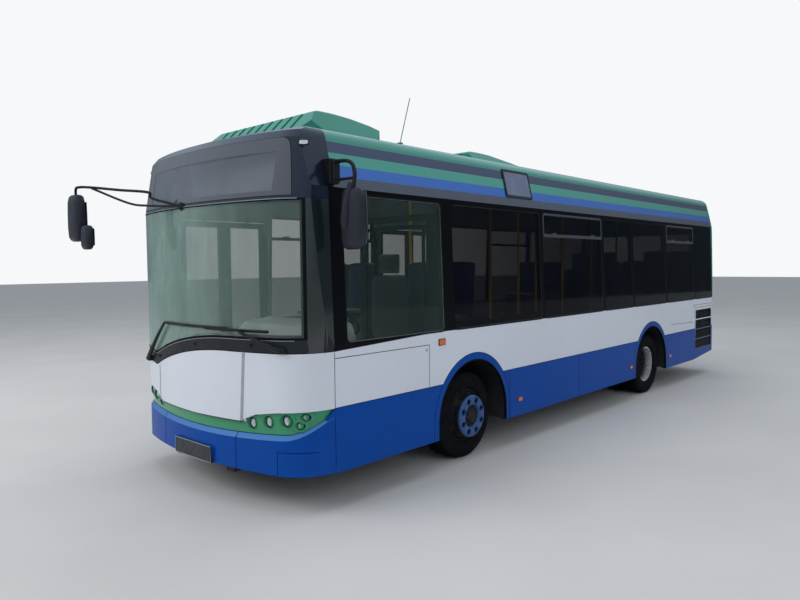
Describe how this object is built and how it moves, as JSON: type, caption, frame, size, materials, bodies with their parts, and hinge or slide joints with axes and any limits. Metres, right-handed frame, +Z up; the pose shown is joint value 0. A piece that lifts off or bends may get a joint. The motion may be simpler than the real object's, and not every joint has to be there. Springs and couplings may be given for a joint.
{
  "type": "city midibus",
  "caption": "Low-entry city bus with steered front wheels, twin rear wheels, in-swing double doors on the kerb side and a rear engine hatch.",
  "frame": {"origin": "on the ground under the middle of the whole bus, mirrors included", "axes": "-Y is forwards, +X is the driver side of the bus, +Z is up"},
  "size_m": [2.955, 9.47, 3.3741],
  "materials": {
    "body_left": "white paint below the windows, black round them",
    "body_right": "white paint below the windows, black round them",
    "skirt_blue": "blue gloss paint",
    "roof_stripes": "green paint with stripes",
    "cap_black": "near black gloss",
    "display_glass": "dark glass over a display",
    "windscreen_glass": "clear laminated glass",
    "panel_white": "white gloss",
    "strip_green": "green gloss",
    "lamp_lens": "clear lamp lens",
    "bumper_blue": "blue gloss",
    "rear_paint": "white, green and blue paint",
    "tinted_glass": "dark tinted glass",
    "marker_lens": "amber and red lens",
    "grille_black": "black",
    "unit_green": "green gloss shell",
    "sign_glass": "dark sign glass",
    "mirror_black": "grained black",
    "wiper_black": "satin black",
    "dash_grey": "grey grained",
    "seat_cloth": "blue grey cloth",
    "partition_grey": "dark grey",
    "rail_yellow": "yellow",
    "frame_black": "black chassis paint",
    "floor_grey": "grey vinyl",
    "engine_iron": "dark iron",
    "hopper_black": "black anodised",
    "tyre_rubber": "worn rubber",
    "rim_front_paint": "worn silver with rust",
    "rim_rear_silver": "silver paint",
    "door_black": "black frame",
    "door_steel": "grey steel"
  },
  "bodies": {
    "body": {"arch_panels": "skirt_blue", "axles": "frame_black", "dashboard": "dash_grey", "display_glass": "display_glass", "driver_seat": "seat_cloth", "engine_block": "engine_iron", "floor": "floor_grey", "front_bumper": "bumper_blue", "front_cap": "cap_black", "front_frame": "cap_black", "front_panel": "panel_white", "handrails": "rail_yellow", "headlamps": "lamp_lens", "hopper_frames": "hopper_black", "lamp_strip": "strip_green", "marker_lamps": "marker_lens", "mirrors": "mirror_black", "partition": "partition_grey", "passenger_seats": "seat_cloth", "rear_bumper": "bumper_blue", "rear_wall": "rear_paint", "rear_window": "tinted_glass", "roof": "roof_stripes", "roof_ac": "unit_green", "roof_fittings": "unit_green", "side_glass": "tinted_glass", "side_grille": "grille_black", "side_sign": "sign_glass", "skirts": "skirt_blue", "underframe": "frame_black", "wall_left": "body_left", "wall_right": "body_right", "wheel_housings": "frame_black", "windscreen": "windscreen_glass", "wipers": "wiper_black"},
    "knuckle_left": {"knuckle_left": "frame_black"},
    "knuckle_right": {"knuckle_right": "frame_black"},
    "wheel_front_left": {"rim_front_left": "rim_front_paint", "tyre_front_left": "tyre_rubber"},
    "wheel_front_right": {"rim_front_right": "rim_front_paint", "tyre_front_right": "tyre_rubber"},
    "wheels_rear_left": {"rims_rear_left": "rim_rear_silver", "tyres_rear_left": "tyre_rubber"},
    "wheels_rear_right": {"rims_rear_right": "rim_rear_silver", "tyres_rear_right": "tyre_rubber"},
    "engine_hatch": {"engine_hatch": "rear_paint"},
    "front_door_post_a": {"front_door_post_a": "door_steel"},
    "front_door_leaf_a": {"front_door_leaf_a": "door_black", "front_door_glass_a": "tinted_glass"},
    "front_door_post_b": {"front_door_post_b": "door_steel"},
    "front_door_leaf_b": {"front_door_leaf_b": "door_black", "front_door_glass_b": "tinted_glass"},
    "mid_door_post_a": {"mid_door_post_a": "door_steel"},
    "mid_door_leaf_a": {"mid_door_leaf_a": "door_black", "mid_door_glass_a": "tinted_glass"},
    "mid_door_post_b": {"mid_door_post_b": "door_steel"},
    "mid_door_leaf_b": {"mid_door_leaf_b": "door_black", "mid_door_glass_b": "tinted_glass"}
  },
  "joints": [
    {"name": "steer_left", "type": "hinge", "parent": "body", "child": "knuckle_left", "pos_m": [0.88, -2.1075, 0.41], "axis": [0, 0, 1], "range_deg": [-45, 45]},
    {"name": "spin_front_left", "type": "hinge", "parent": "knuckle_left", "child": "wheel_front_left", "pos_m": [0.966, -2.1075, 0.41], "axis": [1, 0, 0], "continuous": true},
    {"name": "spin_rear_left", "type": "hinge", "parent": "body", "child": "wheels_rear_left", "pos_m": [0.857, 2.0925, 0.41], "axis": [1, 0, 0], "continuous": true},
    {"name": "steer_right", "type": "hinge", "parent": "body", "child": "knuckle_right", "pos_m": [-0.88, -2.1075, 0.41], "axis": [0, 0, 1], "range_deg": [-45, 45]},
    {"name": "spin_front_right", "type": "hinge", "parent": "knuckle_right", "child": "wheel_front_right", "pos_m": [-0.966, -2.1075, 0.41], "axis": [1, 0, 0], "continuous": true},
    {"name": "spin_rear_right", "type": "hinge", "parent": "body", "child": "wheels_rear_right", "pos_m": [-0.857, 2.0925, 0.41], "axis": [1, 0, 0], "continuous": true},
    {"name": "hatch_lift", "type": "hinge", "parent": "body", "child": "engine_hatch", "pos_m": [0, 4.7385, 1.44], "axis": [1, 0, 0], "range_deg": [0, 80]},
    {"name": "front_door_turn_a", "type": "hinge", "parent": "body", "child": "front_door_post_a", "pos_m": [-1.0815, -3.8155, 1.3], "axis": [0, 0, 1], "range_deg": [-90, 0]},
    {"name": "front_door_fold_a", "type": "hinge", "parent": "front_door_post_a", "child": "front_door_leaf_a", "pos_m": [-1.0815, -3.536, 1.3], "axis": [0, 0, 1], "range_deg": [0, 180]},
    {"name": "front_door_turn_b", "type": "hinge", "parent": "body", "child": "front_door_post_b", "pos_m": [-1.0815, -2.7495, 1.3], "axis": [0, 0, 1], "range_deg": [0, 90]},
    {"name": "front_door_fold_b", "type": "hinge", "parent": "front_door_post_b", "child": "front_door_leaf_b", "pos_m": [-1.0815, -3.029, 1.3], "axis": [0, 0, 1], "range_deg": [-180, 0]},
    {"name": "mid_door_turn_a", "type": "hinge", "parent": "body", "child": "mid_door_post_a", "pos_m": [-1.0815, -1.0255, 1.3], "axis": [0, 0, 1], "range_deg": [-90, 0]},
    {"name": "mid_door_fold_a", "type": "hinge", "parent": "mid_door_post_a", "child": "mid_door_leaf_a", "pos_m": [-1.0815, -0.7035, 1.3], "axis": [0, 0, 1], "range_deg": [0, 180]},
    {"name": "mid_door_turn_b", "type": "hinge", "parent": "body", "child": "mid_door_post_b", "pos_m": [-1.0815, 0.2105, 1.3], "axis": [0, 0, 1], "range_deg": [0, 90]},
    {"name": "mid_door_fold_b", "type": "hinge", "parent": "mid_door_post_b", "child": "mid_door_leaf_b", "pos_m": [-1.0815, -0.1115, 1.3], "axis": [0, 0, 1], "range_deg": [-180, 0]}
  ],
  "couplings": [
    {"joint": "steer_right", "follows": "steer_left", "ratio": 1},
    {"joint": "front_door_fold_a", "follows": "front_door_turn_a", "ratio": -2},
    {"joint": "front_door_turn_b", "follows": "front_door_turn_a", "ratio": -1},
    {"joint": "front_door_fold_b", "follows": "front_door_turn_a", "ratio": 2},
    {"joint": "mid_door_fold_a", "follows": "mid_door_turn_a", "ratio": -2},
    {"joint": "mid_door_turn_b", "follows": "mid_door_turn_a", "ratio": -1},
    {"joint": "mid_door_fold_b", "follows": "mid_door_turn_a", "ratio": 2}
  ]
}
